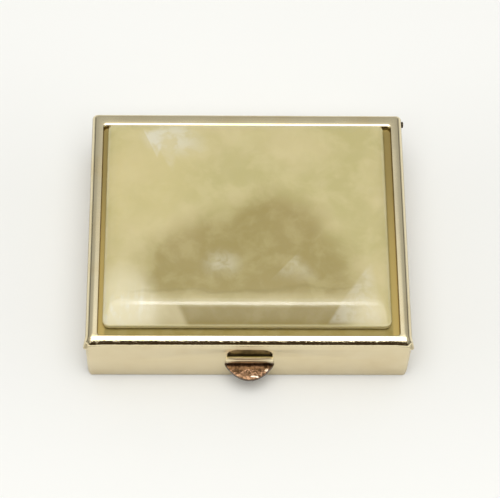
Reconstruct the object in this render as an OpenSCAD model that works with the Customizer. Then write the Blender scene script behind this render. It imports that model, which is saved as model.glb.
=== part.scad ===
// Hinged sheet-metal pill box with a polished stone slab set in its lid.
// X runs across the width, the front with the thumb tab faces -Y, and Z is up.
// The origin is the centre of the underside of the base.
// The lid is drawn closed. It turns about the hinge pin along the back edge.

/* [Lid] */
// Width of the lid
lid_w = 50; // [48:0.5:54]
// Depth of the lid, front skirt to back lip
lid_d = 41; // [39:0.5:45]
// Height of the metal rim above the surface that the box rests on
lid_top = 11.7; // [11.4:0.1:13]
// Thickness of the stamped sheet
sheet = 0.3; // [0.25:0.01:0.35]
// Outer radius of the lid's folded edges and corners
lid_edge_r = 0.8; // [0.6:0.05:1]
// Lower edge of the front skirt, just clear of the table
front_skirt_low = 0.25; // [0.15:0.05:0.6]
// Lower edge of the two side skirts
side_skirt_low = 5.5; // [4:0.1:7]
// Lower edge of the short back lip above the hinge axis
back_lip_rise = 0.75; // [0.7:0.05:0.9]

/* [Stone recess] */
// Width of the rim beside the recess
rim_side = 1.9; // [1.6:0.1:2.2]
// Width of the rim in front of the recess
rim_front = 1.4; // [1.3:0.1:1.8]
// Width of the rim behind the recess
rim_back = 1.65; // [1.6:0.05:1.9]
// Depth of the recess below the rim
recess_depth = 0.75; // [0.6:0.05:0.8]
// Corner radius of the recess
recess_r = 0.9; // [0.5:0.1:2]

/* [Stone] */
// Width of the stone slab
stone_w = 44.2; // [42:0.1:44.6]
// Depth of the stone slab
stone_d = 35.6; // [34:0.1:36]
// Gap between the stone and the back of the recess
stone_back_gap = 0.9; // [0.6:0.05:1.2]
// How far the stone sits to the left of the middle of the recess
stone_shift = 0.25; // [0:0.05:0.4]
// Height of the crown of the stone above the rim
stone_crown = 1.9; // [1.2:0.1:2.2]
// Height of the stone's upright edge above the rim
stone_edge_rise = 0.25; // [0.1:0.05:0.5]
// Width of the rolled edge at the sides and back of the stone
stone_roll = 2.8; // [2:0.1:4]
// Width of the longer rolled edge at the front of the stone
stone_front_roll = 5.8; // [4:0.1:7]
// Slope of the stone's front edge, in degrees
stone_front_slope = 34; // [25:1:45]
// Corner radius of the stone
stone_r = 1; // [0.5:0.1:2]
// Thickness of the cement bed under the stone
cement_t = 0.1; // [0.05:0.01:0.2]

/* [Base] */
// Clearance between the lid's side skirts and the base
side_gap = 0.2; // [0.1:0.05:0.3]
// Clearance between the lid's front skirt and the base
front_gap = 0.25; // [0.2:0.05:0.3]
// Radius of the base's bottom edges and upright corners
base_r = 1; // [0.8:0.05:1.2]
// Gap between the top of the base's walls and the underside of the rim
wall_top_gap = 0.2; // [0.15:0.05:0.4]
// Thickness of the plated lining sheets
liner_t = 0.25; // [0.2:0.01:0.3]
// Top edge of the compartment lining
liner_top = 9.4; // [8.5:0.1:9.5]
// Thickness of the divider strip
divider_t = 0.4; // [0.3:0.05:0.6]

/* [Hinge] */
// Radius of the hinge pin
pin_r = 0.4; // [0.35:0.01:0.4]
// Outer radius of the rolled hinge knuckles
knuckle_r = 0.6; // [0.58:0.01:0.62]
// Distance of the hinge axis in front of the lid's back face
axis_inset = 0.95; // [0.9:0.05:1]
// How far the pin's peened end stands out of the right side skirt
pin_stand = 0.35; // [0.2:0.05:0.5]
// Number of knuckles along the pin, base and lid in turn
knuckles = 5; // [3, 5, 7]

/* [Catch and thumb tab] */
// How far right of the middle the window, nib and thumb tab stand
latch_x = 0.2; // [-0.5:0.05:0.5]
// Width of the window in the front skirt
window_w = 7.05; // [6:0.05:8]
// Sill of the window above the table
window_low = 6.75; // [6.5:0.05:7]
// Height of the window at its middle
window_h = 2.7; // [2:0.1:2.9]
// Width of the thumb tab
tab_w = 7.7; // [6:0.05:9]
// How far the thumb tab stands out of the front skirt
tab_reach = 2.75; // [2:0.05:3.5]
// How full the thumb tab's outline is: 0.5 is half an oval, 1 a parabola
tab_fullness = 0.85; // [0.5:0.05:1]
// Top face of the thumb tab above the table
tab_top = 4.5; // [4:0.1:5]
// Thickness of the thumb tab
tab_t = 0.6; // [0.4:0.05:0.9]
// Thickness of the catch's spring strip
strip_t = 0.25; // [0.2:0.01:0.3]

/* [Hidden] */

gold = [0.83, 0.75, 0.58];
warm_gold = [0.72, 0.61, 0.36];
steel = [0.62, 0.58, 0.5];
bronze = [0.6, 0.45, 0.25];
copper = [0.56, 0.4, 0.27];
onyx = [0.82, 0.77, 0.58];
cement_white = [0.85, 0.83, 0.76];

// Fine facets for the rounded shells, and for true cylinders
edge_fn = 32;
bore_fn = 48;
// Overshoot of a cutting shape past the face that it cuts
past = 1;

lid_front = -lid_d / 2;
lid_back = lid_d / 2;
skirt_in_x = lid_w / 2 - sheet;
skirt_in_front = lid_front + sheet;

recess_w = lid_w - 2 * rim_side;
recess_front = lid_front + rim_front;
recess_back = lid_back - rim_back;
recess_floor = lid_top - recess_depth;
pan_low = recess_floor - sheet;

stone_back = recess_back - stone_back_gap;
stone_front = stone_back - stone_d;
stone_low = recess_floor + cement_t;
stone_edge_top = lid_top + stone_edge_rise;
stone_top = lid_top + stone_crown;

base_w = 2 * (skirt_in_x - side_gap);
base_d = 2 * (-skirt_in_front - front_gap);
base_front = -base_d / 2;
base_back = base_d / 2;
wall_top = lid_top - sheet - wall_top_gap;

// Radial clearances of the pin, tight in the base and running in the lid
pin_press_gap = 0.01;
pin_run_gap = 0.05;
knuckle_gap = 0.1;
axis_y = lid_back - axis_inset;
axis_z = pan_low - knuckle_gap - knuckle_r;
back_wall_top = axis_z - knuckle_r - 0.15;
post_w = 0.6;
knuckle_row = base_w - 2 * post_w - 0.2;
knuckle_pitch = knuckle_row / knuckles;
leaf_t = sheet;
// Thickness of a solder joint between two sheets
solder_t = 0.02;

// The spring strip stands free of the wall, on a foot that lies against it
strip_w = 9;
foot_back = base_front + sheet + strip_t;
leaf_front = base_front + sheet + 0.5;
leaf_back = leaf_front + strip_t;
foot_low = 0.9;
bend_z = 2.6;
leaf_top = 9.3;
nib_w = window_w - 0.85;
nib_front = skirt_in_front + 0.1;
nib_low = window_low + 0.3;
nib_h = window_h - 0.7;
nib_hole_margin = 0.2;
shoulder_r = 1.8;

liner_front = leaf_back + 0.45;
liner_back = base_back - sheet - leaf_t - 0.1;
liner_w = base_w - 2 * sheet - 0.2;
liner_low = sheet;
liner_r = 0.95;

// A box with rounded upright corners, and round top or bottom edges
module soft_box(w, front, back, low, high, r, round_top) {
    ball_z = round_top ? high - r : low + r;
    flat_z = round_top ? low : high;
    hull()
        for (x = [r - w / 2, w / 2 - r], y = [front + r, back - r]) {
            translate([x, y, ball_z])
                sphere(r, $fn = edge_fn);
            translate([x, y, min(ball_z, flat_z)])
                cylinder(r = r, h = abs(flat_z - ball_z), $fn = edge_fn);
        }
}

// A flat plate with rounded upright corners
module soft_plate(w, front, back, low, high, r) {
    hull()
        for (x = [r - w / 2, w / 2 - r], y = [front + r, back - r])
            translate([x, y, low])
                cylinder(r = r, h = high - low, $fn = edge_fn);
}

// A plain block between two corners
module block(from, to) {
    translate(from)
        cube(to - from);
}

// A cylinder along X
module rod(x0, x1, y, z, r) {
    translate([x0, y, z])
        rotate([0, 90, 0])
            cylinder(r = r, h = x1 - x0, $fn = bore_fn);
}

// The outline of the window and the nib: flat below, with two round shoulders above
module arched(w, low, h, shoulder_r) {
    intersection() {
        hull() {
            translate([latch_x - w / 2, low])
                square([w, h - shoulder_r]);
            for (side = [-1, 1])
                translate([latch_x + side * (w / 2 - shoulder_r), low + h - shoulder_r])
                    circle(shoulder_r, $fn = edge_fn);
        }
        // The shoulders' circles don't reach below the sill
        translate([latch_x - w, low])
            square([2 * w, h + 1]);
    }
}

// A plate in the XZ plane from y0 to y1
module upright(y0, y1) {
    translate([0, y1, 0])
        rotate([90, 0, 0])
            linear_extrude(y1 - y0)
                children();
}

// Left and right ends of knuckle number i
function knuckle_x(i) = [
    -knuckle_row / 2 + i * knuckle_pitch + knuckle_gap / 2,
    -knuckle_row / 2 + (i + 1) * knuckle_pitch - knuckle_gap / 2
];

// Every second knuckle along the pin, starting with number first
module knuckle_set(first) {
    for (i = [first : 2 : knuckles - 1])
        rod(knuckle_x(i)[0], knuckle_x(i)[1], axis_y, axis_z, knuckle_r);
}

// Quarter-round waste that rounds off the lower corners of the front skirt
module skirt_corner_waste(r) {
    for (side = [-1, 1])
        upright(lid_front - past, skirt_in_front + lid_edge_r)
            translate([side * (lid_w / 2 - r), front_skirt_low + r])
                difference() {
                    translate([side > 0 ? 0 : -r - past, -r - past])
                        square([r + past, r + past]);
                    circle(r, $fn = bore_fn);
                }
}

module lid_shell() {
    in_r = lid_edge_r - sheet;
    color(gold)
        difference() {
            union() {
                difference() {
                    soft_box(lid_w, lid_front, lid_back, front_skirt_low, lid_top, lid_edge_r, true);
                    soft_box(2 * skirt_in_x, skirt_in_front, -skirt_in_front, front_skirt_low - past,
                        lid_top - sheet, in_r, true);
                }
                soft_plate(recess_w + 2 * sheet, recess_front - sheet, recess_back + sheet,
                    pan_low, lid_top - sheet / 2, recess_r + sheet);
            }
            soft_plate(recess_w, recess_front, recess_back, recess_floor, lid_top + past, recess_r);
            // The side skirts end half way down, behind the front skirt's corners
            block([-lid_w, lid_front + lid_edge_r, -past], [lid_w, lid_back + past, side_skirt_low]);
            // The back is open below the short lip, between the side skirts
            block([-skirt_in_x, axis_y - 2 * knuckle_r, -past],
                [skirt_in_x, lid_back + past, axis_z + back_lip_rise]);
            skirt_corner_waste(1);
            upright(lid_front - past, skirt_in_front + past / 2)
                arched(window_w, window_low, window_h, shoulder_r);
            rod(-lid_w, lid_w, axis_y, axis_z, pin_r + pin_run_gap);
        }
}

// A shallow plate with a turned-down edge, soldered under the recess pan
module lid_liner() {
    plate_w = recess_w - 1.4;
    plate_front = recess_front + 1;
    plate_back = axis_y - knuckle_r - 0.4;
    flange = 0.95;
    color(warm_gold)
        difference() {
            soft_plate(plate_w, plate_front, plate_back, pan_low - flange, pan_low, 1);
            soft_plate(plate_w - 2 * liner_t, plate_front + liner_t, plate_back - liner_t,
                pan_low - flange - past, pan_low - liner_t, 1 - liner_t);
        }
}

module stone_cement() {
    inset = 0.5;
    color(cement_white)
        translate([-stone_shift, 0, 0])
            soft_plate(stone_w - 2 * inset, stone_front + inset, stone_back - inset,
                recess_floor, stone_low, stone_r);
}

// A slab with an upright edge and a crown. The crown rolls over as a quarter ellipse at the
// sides and back, and as a longer circular arc at the front.
module stone_slab() {
    slices = 7;
    color(onyx)
        translate([-stone_shift, 0, 0])
            hull() {
                soft_plate(stone_w, stone_front, stone_back, stone_low, stone_edge_top, stone_r);
                for (i = [1 : slices]) {
                    turn = 90 * i / slices;
                    rise = sin(turn);
                    side_in = stone_roll * (1 - cos(turn));
                    slope = acos(cos(stone_front_slope) + rise * (1 - cos(stone_front_slope)));
                    front_in = stone_front_roll * (1 - sin(slope) / sin(stone_front_slope));
                    level = stone_edge_top + (stone_top - stone_edge_top) * rise;
                    soft_plate(stone_w - 2 * side_in, stone_front + front_in, stone_back - side_in,
                        level - 0.02, level, stone_r + side_in / 2);
                }
            }
}

// A flange on the face of the front skirt and a half-moon shelf for the thumb
module thumb_tab() {
    flange_t = 0.25;
    flange_w = 7.2;
    steps = 48;
    color(copper)
        union() {
            block([latch_x - flange_w / 2, lid_front - flange_t, tab_top - tab_t / 2],
                [latch_x + flange_w / 2, lid_front, window_low - 0.05]);
            translate([latch_x, 0, tab_top - tab_t])
                linear_extrude(tab_t)
                    polygon([
                        for (i = [0:steps])
                            let (across = 2 * i / steps - 1)
                                [across * tab_w / 2, lid_front - tab_reach * pow(1 - across * across, tab_fullness)]
                    ]);
        }
}

// Knuckles that hang from a strip soldered under the back rim
module lid_hinge_leaf() {
    rim_under = lid_top - sheet - solder_t;
    color(gold)
        difference() {
            union() {
                knuckle_set(1);
                for (i = [1 : 2 : knuckles - 1]) {
                    ends = knuckle_x(i);
                    block([ends[0], axis_y - leaf_t / 2, axis_z], [ends[1], axis_y + leaf_t / 2, rim_under]);
                    block([ends[0], recess_back + sheet + 0.05, rim_under - leaf_t],
                        [ends[1], lid_back - lid_edge_r, rim_under]);
                }
            }
            rod(-lid_w, lid_w, axis_y, axis_z, pin_r + pin_run_gap);
        }
}

module base_tray() {
    color(gold)
        difference() {
            soft_box(base_w, base_front, base_back, 0, wall_top, base_r, false);
            soft_box(base_w - 2 * sheet, base_front + sheet, base_back - sheet, sheet, wall_top + past,
                base_r - sheet, false);
            // The back wall stops under the knuckles, between two corner posts
            block([post_w - base_w / 2, axis_y - 2 * knuckle_r, back_wall_top],
                [base_w / 2 - post_w, base_back + past, wall_top + past]);
            upright(base_front - past, base_front + past)
                arched(nib_w + 2 * nib_hole_margin, nib_low - nib_hole_margin,
                    nib_h + 2 * nib_hole_margin, shoulder_r - nib_hole_margin);
            rod(-base_w, base_w, axis_y, axis_z, pin_r + pin_press_gap);
            rivet_shafts(0.01);
        }
}

// The plated pan that lines the base and holds the pills
module base_liner() {
    color(warm_gold)
        difference() {
            soft_box(liner_w, liner_front, liner_back, liner_low, liner_top, liner_r, false);
            soft_box(liner_w - 2 * liner_t, liner_front + liner_t, liner_back - liner_t,
                liner_low + liner_t, liner_top + past, liner_r - liner_t, false);
        }
}

// One strip from front to back, with a foot and two end tabs bent over for the solder
module compartment_divider() {
    front = liner_front + liner_t + solder_t;
    back = liner_back - liner_t - solder_t;
    low = liner_low + liner_t + solder_t;
    high = liner_top - 0.4;
    tab_len = 2;
    // The foot is shorter than the strip, clear of the round edge of the lining's floor
    foot_in = liner_r - liner_t;
    tab_low = low + foot_in;
    color(warm_gold)
        union() {
            block([-divider_t / 2, front + foot_in, low], [divider_t / 2, back - foot_in, high]);
            block([-divider_t / 2, front, tab_low], [divider_t / 2, back, high]);
            block([-divider_t / 2, front, tab_low], [tab_len, front + divider_t, high]);
            block([-tab_len, back - divider_t, tab_low], [divider_t / 2, back, high]);
        }
}

// Knuckles that rise from a strip soldered inside the back wall
module base_hinge_leaf() {
    leaf_back_y = base_back - sheet;
    leaf_front_y = leaf_back_y - leaf_t;
    strip_gap = 0.2;
    color(gold)
        difference() {
            union() {
                knuckle_set(0);
                block([strip_gap - knuckle_row / 2, leaf_front_y, side_skirt_low],
                    [knuckle_row / 2 - strip_gap, leaf_back_y, back_wall_top]);
                for (i = [0 : 2 : knuckles - 1])
                    block([knuckle_x(i)[0], leaf_front_y, back_wall_top - 0.1],
                        [knuckle_x(i)[1], leaf_back_y, axis_z]);
            }
            rod(-lid_w, lid_w, axis_y, axis_z, pin_r + pin_press_gap);
        }
}

// The pin runs the whole width, and its peened end stands out on the right
module hinge_pin() {
    head_r = 0.5;
    color(steel)
        union() {
            rod(-lid_w / 2, lid_w / 2 + 0.1, axis_y, axis_z, pin_r);
            rod(lid_w / 2 + 0.05, lid_w / 2 + pin_stand, axis_y, axis_z, head_r);
        }
}

// The riveted foot of the spring strip, with the bend that carries it clear of the wall
module catch_foot() {
    wall_in = base_front + sheet;
    color(bronze)
        difference() {
            union() {
                block([-strip_w / 2, wall_in, foot_low], [strip_w / 2, foot_back, bend_z - 0.03]);
                block([-strip_w / 2, wall_in, bend_z - strip_t - 0.03],
                    [strip_w / 2, leaf_back, bend_z - 0.03]);
            }
            rivet_shafts(0.01);
        }
}

// Shafts of the two rivets through the front wall and the foot
module rivet_shafts(gap) {
    rivet_r = 0.4;
    for (side = [-1, 1])
        translate([side * strip_w / 3, foot_back, 1.55])
            rotate([90, 0, 0])
                cylinder(r = rivet_r + gap, h = sheet + strip_t, $fn = bore_fn);
}

module catch_rivets() {
    head_r = 0.6;
    head_t = 0.2;
    color(steel)
        union() {
            rivet_shafts(0);
            for (side = [-1, 1])
                translate([side * strip_w / 3, foot_back + head_t, 1.55])
                    rotate([90, 0, 0])
                        cylinder(r = head_r, h = head_t, $fn = bore_fn);
        }
}

// The free part of the spring strip, which bends at its foot
module catch_leaf() {
    color(bronze)
        block([-strip_w / 2, leaf_front, bend_z], [strip_w / 2, leaf_back, leaf_top]);
}

// The nib that snaps into the window of the front skirt
module catch_nib() {
    color(bronze)
        upright(nib_front, leaf_front)
            arched(nib_w, nib_low, nib_h, shoulder_r - 0.4);
}

base_tray();
base_liner();
compartment_divider();
base_hinge_leaf();
hinge_pin();
catch_foot();
catch_rivets();
catch_leaf();
catch_nib();
lid_shell();
lid_liner();
lid_hinge_leaf();
stone_cement();
stone_slab();
thumb_tab();
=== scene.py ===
# Looks for a hinged stone-top pill box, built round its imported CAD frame.
# Lengths in the dictionaries are millimetres unless a note says otherwise.
import math

import bmesh
import bpy
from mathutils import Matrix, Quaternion, Vector


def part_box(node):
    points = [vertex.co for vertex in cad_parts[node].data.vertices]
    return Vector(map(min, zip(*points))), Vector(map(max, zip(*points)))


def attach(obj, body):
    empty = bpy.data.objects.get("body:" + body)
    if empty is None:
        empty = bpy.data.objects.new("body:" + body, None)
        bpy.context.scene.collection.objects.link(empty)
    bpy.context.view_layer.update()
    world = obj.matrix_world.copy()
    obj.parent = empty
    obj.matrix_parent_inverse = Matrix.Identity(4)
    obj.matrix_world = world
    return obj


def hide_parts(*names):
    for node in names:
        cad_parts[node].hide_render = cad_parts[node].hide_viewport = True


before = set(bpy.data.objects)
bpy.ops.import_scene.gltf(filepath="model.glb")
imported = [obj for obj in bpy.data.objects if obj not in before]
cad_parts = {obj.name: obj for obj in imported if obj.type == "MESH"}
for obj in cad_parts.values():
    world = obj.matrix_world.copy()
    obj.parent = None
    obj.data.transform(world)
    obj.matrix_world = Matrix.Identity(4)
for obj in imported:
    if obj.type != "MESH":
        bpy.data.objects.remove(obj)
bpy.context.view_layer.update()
mm = 0.001


def stage(text):
    print("scene:", text, flush=True)


def nodeBox(name):
    # lowest and highest corner of a CAD node, in mm
    low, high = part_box(name)
    return [v / mm for v in low], [v / mm for v in high]


def deselectAll():
    bpy.ops.object.select_all(action="DESELECT")


def addBlock(name, low, high):
    # a cube primitive between two corners, ready to be shaped
    deselectAll()
    centre = [(a + b) / 2 for a, b in zip(low, high)]
    bpy.ops.mesh.primitive_cube_add(size=1, location=centre)
    piece = bpy.context.object
    piece.name = piece.data.name = name
    piece.scale = [b - a for a, b in zip(low, high)]
    bpy.ops.object.transform_apply(location=True, rotation=True, scale=True)
    return piece


def addRod(name, centre, radius, length):
    # a rod that lies along X
    deselectAll()
    bpy.ops.mesh.primitive_cylinder_add(
        vertices=48, radius=radius, depth=length, location=centre, rotation=(0, math.pi / 2, 0))
    piece = bpy.context.object
    piece.name = piece.data.name = name
    bpy.ops.object.transform_apply(location=True, rotation=True, scale=True)
    return piece


def edit(piece):
    if bpy.context.object and bpy.context.object.mode == "EDIT":
        bpy.ops.object.mode_set(mode="OBJECT")
    deselectAll()
    piece.select_set(True)
    bpy.context.view_layer.objects.active = piece
    bpy.ops.object.mode_set(mode="EDIT")


def leaveEdit():
    bpy.ops.object.mode_set(mode="OBJECT")


def pick(kind, test):
    # selects the vertices, edges or faces that pass the test
    bpy.ops.mesh.select_mode(type=kind)
    bpy.ops.mesh.select_all(action="DESELECT")
    mesh = bpy.context.edit_object.data
    shape = bmesh.from_edit_mesh(mesh)
    items = {"VERT": shape.verts, "EDGE": shape.edges, "FACE": shape.faces}[kind]
    for item in items:
        if test(item):
            item.select_set(True)
    shape.select_flush_mode()
    bmesh.update_edit_mesh(mesh)


def middle(item):
    # middle of an edge or face
    return sum((v.co for v in item.verts), Vector()) / len(item.verts)


def bevelEdges(radius, segments):
    bpy.ops.mesh.bevel(offset_type="OFFSET", offset=radius, segments=segments, profile=0.5,
                       affect="EDGES", clamp_overlap=True)


def isUpright(edge, slack=1e-3):
    a, b = edge.verts[0].co, edge.verts[1].co
    return abs(a.x - b.x) < slack and abs(a.y - b.y) < slack and abs(a.z - b.z) > slack


def ringExtents():
    shape = bmesh.from_edit_mesh(bpy.context.edit_object.data)
    spots = [v.co for v in shape.verts if v.select]
    low = [min(p[i] for p in spots) for i in range(3)]
    high = [max(p[i] for p in spots) for i in range(3)]
    return low, high


def nextRing(left, right, front, back, level):
    # extrudes the selected flat face and fits its copy between the given sides and level
    low, high = ringExtents()
    centre = [(low[0] + high[0]) / 2, (low[1] + high[1]) / 2, low[2]]
    bpy.ops.mesh.extrude_region_move()
    factor = ((right - left) / (high[0] - low[0]), (back - front) / (high[1] - low[1]), 1)
    bpy.ops.transform.resize(value=factor, center_override=centre)
    shift = ((left + right) / 2 - centre[0], (front + back) / 2 - centre[1], level - centre[2])
    bpy.ops.transform.translate(value=shift)


def cutAt(point, normal, clearOuter=False, fill=False):
    bpy.ops.mesh.select_all(action="SELECT")
    bpy.ops.mesh.bisect(plane_co=point, plane_no=normal, use_fill=fill, clear_inner=False,
                        clear_outer=clearOuter, threshold=1e-5)


def tidyMesh():
    # merges doubles and turns the faces outward
    bpy.ops.mesh.select_all(action="SELECT")
    bpy.ops.mesh.remove_doubles(threshold=1e-4)
    bpy.ops.mesh.normals_make_consistent(inside=False)


def modify(piece, kind, **settings):
    # adds a modifier and applies it
    deselectAll()
    piece.select_set(True)
    bpy.context.view_layer.objects.active = piece
    modifier = piece.modifiers.new(kind.lower(), kind)
    for key, value in settings.items():
        setattr(modifier, key, value)
    bpy.ops.object.modifier_apply(modifier=modifier.name)


def cutWith(piece, tool):
    modify(piece, "BOOLEAN", operation="DIFFERENCE", object=tool, solver="EXACT")
    bpy.data.objects.remove(tool, do_unlink=True)


def soften(piece, width, segments=2, angle=40):
    modify(piece, "BEVEL", width=width, segments=segments, limit_method="ANGLE",
           angle_limit=math.radians(angle), harden_normals=False)


def smooth(piece, angle=35):
    deselectAll()
    piece.select_set(True)
    bpy.context.view_layer.objects.active = piece
    bpy.ops.object.shade_smooth_by_angle(angle=math.radians(angle))


def finishPiece(piece, body, replaced, materials):
    # mm to metres, then the piece joins the frame
    deselectAll()
    piece.select_set(True)
    bpy.context.view_layer.objects.active = piece
    piece.scale = (mm, mm, mm)
    bpy.ops.object.transform_apply(location=True, rotation=True, scale=True)
    if not piece.data.materials:
        for material in materials:
            piece.data.materials.append(material)
    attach(piece, body)
    for name in replaced:
        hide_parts(name)


def latchMiddle():
    # the window, nib and thumb tab stand a little right of the middle
    low, high = nodeBox("thumb_tab")
    return (low[0] + high[0]) / 2


def linear(hexColour):
    # one sRGB hex value to linear RGBA
    parts = [int(hexColour[i:i + 2], 16) / 255 for i in (0, 2, 4)]
    return [p / 12.92 if p <= 0.04045 else ((p + 0.055) / 1.055) ** 2.4 for p in parts] + [1]


def newMaterial(name):
    material = bpy.data.materials.new(name)
    material.use_nodes = True
    tree = material.node_tree
    tree.nodes.clear()
    return material, tree


def add(tree, kind, inputs=(), out=0, **settings):
    # adds a node with its settings, fills its sockets with values or links, and gives one of its outputs
    node = tree.nodes.new("ShaderNode" + kind)
    for key, value in settings.items():
        setattr(node, key, value)
    for name, item in inputs.items() if isinstance(inputs, dict) else enumerate(inputs):
        if isinstance(item, bpy.types.NodeSocket):
            tree.links.new(item, node.inputs[name])
        else:
            node.inputs[name].default_value = item
    return node.outputs[out] if len(node.outputs) else None


softly = {"interpolation_type": "SMOOTHSTEP"}   # a range whose ends ease in and out
inColour = {"data_type": "RGBA", "out": 2}      # a mix of two colours
times, plus = {"operation": "MULTIPLY"}, {"operation": "ADD"}


def millimetres(tree):
    # object coordinates in mm
    place = add(tree, "TexCoord", out="Object")
    return add(tree, "VectorMath", {0: place, "Scale": 1 / mm}, operation="SCALE")


def finishShader(tree, inputs):
    add(tree, "OutputMaterial", {"Surface": add(tree, "BsdfPrincipled", inputs)})


goldPlate = {
    "colour": "ecdfba",       # pale champagne gold
    "warmer": "e2d0a4",       # where the plate is thin
    "walls": "dccdaa",        # painted a little darker than the rim, as shade on the walls
    "underRollShade": "8c7853", "rubbed": "8a764a",   # painted shade line under the side rolls; tarnish round the catch hole
    "roughness": 0.13,
    "baseColour": "e9dabd", "baseRoughness": 0.16,
    "waviness": 6.0,          # period of the stamped sheet's slow waves
    "waveHeight": 0.006,
    "scratchPeriod": 0.25,    # rubbed hairlines, drawn coarser than real to show
}


def makePlatedGold(name, colour, warmer, roughness, rippled=False, tarnished=False):
    # gold-plated brass sheet: mirror bright, with slow stamping waves and rubbed hairlines
    material, tree = newMaterial(name)
    place = millimetres(tree)
    patches = add(tree, "MapRange",
                  [add(tree, "TexNoise", {"Vector": place, "Scale": 1 / 9, "Detail": 3}), 0.45, 0.75],
                  **softly)
    tint = add(tree, "Mix", {0: patches, 6: linear(colour), 7: linear(warmer)}, **inColour)
    hair = add(tree, "TexNoise",
               {"Vector": add(tree, "Mapping", {"Vector": place, "Scale": (0.06, 1, 1)}),
                "Scale": 1 / goldPlate["scratchPeriod"], "Detail": 3})
    smudge = add(tree, "TexNoise", {"Vector": place, "Scale": 1 / 4.5, "Detail": 4, "Roughness": 0.6})
    rough = add(tree, "Math", [add(tree, "MapRange", [smudge, 0.35, 0.75, roughness * 0.8, roughness * 1.5],
                                   **softly), add(tree, "MapRange", [hair, 0.5, 0.8, 0, 0.06], **softly)],
                **plus)
    apart = add(tree, "SeparateXYZ", [place]).node
    # the walls are rougher than the rim, and painted a little darker as their shade
    wall = add(tree, "MapRange", [apart.outputs["Z"], 10.9, 10.6, 0, 1], **softly)
    rough = add(tree, "Math", [rough, add(tree, "Math", [wall, 0.22], **times)], **plus)
    tint = add(tree, "Mix", {0: add(tree, "Math", [wall, 0.6], **times), 6: tint,
                             7: linear(goldPlate["walls"])}, **inColour)
    # painted shade: a dark line under the rolled side edges, where shade falls
    aside = add(tree, "MapRange",
                [add(tree, "Math", [apart.outputs["X"]], operation="ABSOLUTE"), 24.6, 24.8], **softly)
    under = add(tree, "Math", [add(tree, "MapRange", [apart.outputs["Z"], 10.35, 10.55], **softly),
                               add(tree, "MapRange", [apart.outputs["Z"], 10.9, 11.1, 1, 0], **softly)],
                **times)
    underRollShade = add(tree, "Math", [add(tree, "Math", [aside, under], **times),
                              add(tree, "MapRange", [apart.outputs["Y"], -19.3, -18.8, 0, 0.8], **softly)],
               **times)
    tint = add(tree, "Mix", {0: underRollShade, 6: tint, 7: linear(goldPlate["underRollShade"])}, **inColour)
    if tarnished:
        # dark where the catch rubs round its hole in the front wall
        moved = add(tree, "Mapping",
                    {"Vector": place, "Location": (latchMiddle(), 0, 8), "Scale": (3.9, 1000, 2.0)},
                    vector_type="TEXTURE")
        far = add(tree, "VectorMath", [moved], out="Value", operation="LENGTH")
        far = add(tree, "Math", [far, add(tree, "Math", [smudge, 0.5], **times)], **plus)
        hole = add(tree, "Math",
                   [add(tree, "MapRange", [far, 1.5, 1.0], **softly),
                    add(tree, "MapRange", [apart.outputs["Y"], -19.8, -19.5, 1, 0], **softly)], **times)
        tint = add(tree, "Mix", {0: add(tree, "Math", [hole, 0.9], **times), 6: tint,
                                 7: linear(goldPlate["rubbed"])}, **inColour)
        rough = add(tree, "Math", [rough, add(tree, "Math", [hole, 0.25], **times)], **plus)
    wave = add(tree, "TexNoise", {"Vector": place, "Scale": 1 / goldPlate["waviness"], "Detail": 1})
    normal = add(tree, "Bump", {"Height": wave, "Strength": 0.5,
                                "Distance": goldPlate["waveHeight"] * 4 * mm})
    normal = add(tree, "Bump", {"Height": hair, "Strength": 0.35, "Distance": 0.0006 * mm,
                                "Normal": normal})
    if rippled:
        # fine ripples that the fold pressed into the front edge
        front = add(tree, "MapRange", [apart.outputs["Y"], -19.9, -19.5, 1, 0], **softly)
        high = add(tree, "MapRange", [apart.outputs["Z"], 10.85, 11.05], **softly)
        ripple = add(tree, "TexNoise",
                     {"Vector": add(tree, "Mapping", {"Vector": place, "Scale": (1, 0.6, 0.6)}),
                      "Scale": 1 / 0.5, "Detail": 3, "Roughness": 0.6})
        height = add(tree, "Math", [add(tree, "Math", [front, high], **times), ripple], **times)
        normal = add(tree, "Bump",
                     {"Height": height, "Strength": 0.8, "Distance": 0.12 * mm, "Normal": normal})
    finishShader(tree, {"Base Color": tint, "Roughness": rough, "Normal": normal, "Metallic": 1.0})
    return material


def makeShadedRecessGold():
    # the gold plate in the recess as a shaded copy: painted deeper yellow and less bright than the plate,
    # as shade and light thrown back from the stone
    material, tree = newMaterial("shadedGoldRecess")
    place = millimetres(tree)
    patches = add(tree, "MapRange",
                  [add(tree, "TexNoise", {"Vector": place, "Scale": 1 / 2.2, "Detail": 4}), 0.35, 0.75],
                  **softly)
    tint = add(tree, "Mix", {0: patches, 6: linear("9d8e5a"), 7: linear("918149")}, **inColour)
    apart = add(tree, "SeparateXYZ", [place]).node
    # painted light and shade: lighter and yellower in the side strips, browner and darker towards the hinge
    aside = add(tree, "MapRange",
                [add(tree, "Math", [apart.outputs["X"]], operation="ABSOLUTE"), 21.9, 22.3, 0, 0.9],
                **softly)
    tint = add(tree, "Mix", {0: aside, 6: tint, 7: linear("b7a061")}, **inColour)
    tint = add(tree, "Mix", {0: add(tree, "MapRange", [apart.outputs["Y"], -8, 12, 0, 0.5], **softly),
                             6: tint, 7: linear("8a7a4e")}, **inColour)
    grain = add(tree, "TexNoise", {"Vector": place, "Scale": 1 / 0.6, "Detail": 3})
    normal = add(tree, "Bump", {"Height": grain, "Strength": 0.3, "Distance": 0.0012 * mm})
    rough = add(tree, "MapRange", [grain, 0.3, 0.8, 0.34, 0.42], **softly)
    finishShader(tree, {"Base Color": tint, "Roughness": rough, "Normal": normal, "Metallic": 1.0})
    return material


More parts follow.
